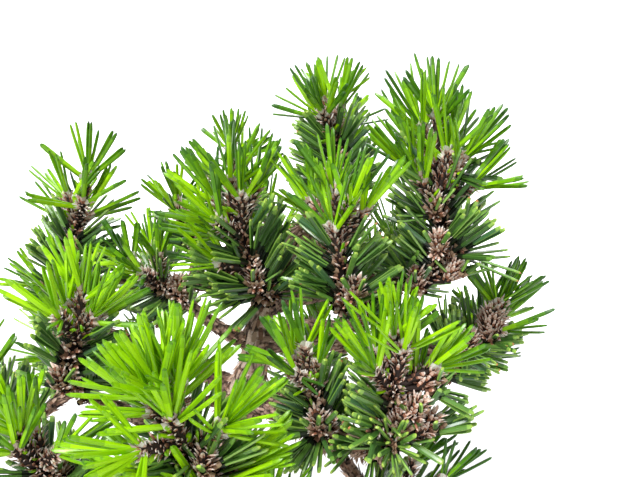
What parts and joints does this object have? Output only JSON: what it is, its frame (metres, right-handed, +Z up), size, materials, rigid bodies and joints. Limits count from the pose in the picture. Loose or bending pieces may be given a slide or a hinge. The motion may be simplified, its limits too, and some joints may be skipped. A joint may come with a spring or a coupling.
{
  "type": "japanese black pine bonsai",
  "caption": "Japanese black pine bonsai: a leaning, tapered trunk with boughs that end in upright tufts of short needles, planted in a plain stoneware pot.",
  "frame": {"origin": "centre of the part's outline, level with the undersides of the pot's feet", "axes": "+Z up, -Y towards the front that the picture shows, +X to the right along the pot's length"},
  "size_m": [0.2658, 0.2901, 0.3038],
  "materials": {
    "stoneware": "unglazed brown stoneware",
    "earth": "granular soil",
    "bark": "flaky bark",
    "needles": "green needles on scaly shoots"
  },
  "bodies": {
    "root": {"bough_back": "bark", "bough_back_high": "bark", "bough_back_left": "bark", "bough_back_low": "bark", "bough_back_low_left": "bark", "bough_back_low_right": "bark", "bough_back_middle": "bark", "bough_back_outer": "bark", "bough_back_right": "bark", "bough_centre": "bark", "bough_front": "bark", "bough_front_centre": "bark", "bough_front_left": "bark", "bough_front_low": "bark", "bough_front_low_left": "bark", "bough_front_right": "bark", "bough_front_right_low": "bark", "bough_left_back": "bark", "bough_left_high": "bark", "bough_left_low": "bark", "bough_left_lower": "bark", "bough_left_middle": "bark", "bough_left_outer": "bark", "bough_left_upper": "bark", "bough_right": "bark", "bough_right_low": "bark", "bough_right_upper": "bark", "bough_top_back": "bark", "mass_apex": "needles", "mass_back": "needles", "mass_back_high": "needles", "mass_back_left": "needles", "mass_back_low": "needles", "mass_back_low_left": "needles", "mass_back_low_right": "needles", "mass_back_middle": "needles", "mass_back_outer": "needles", "mass_back_right": "needles", "mass_centre": "needles", "mass_front": "needles", "mass_front_centre": "needles", "mass_front_left": "needles", "mass_front_low": "needles", "mass_front_low_left": "needles", "mass_front_right": "needles", "mass_front_right_low": "needles", "mass_left_back": "needles", "mass_left_high": "needles", "mass_left_low": "needles", "mass_left_lower": "needles", "mass_left_middle": "needles", "mass_left_outer": "needles", "mass_left_upper": "needles", "mass_right": "needles", "mass_right_low": "needles", "mass_right_upper": "needles", "mass_top_back": "needles", "pot": "stoneware", "soil": "earth", "trunk": "bark"}
  },
  "joints": []
}
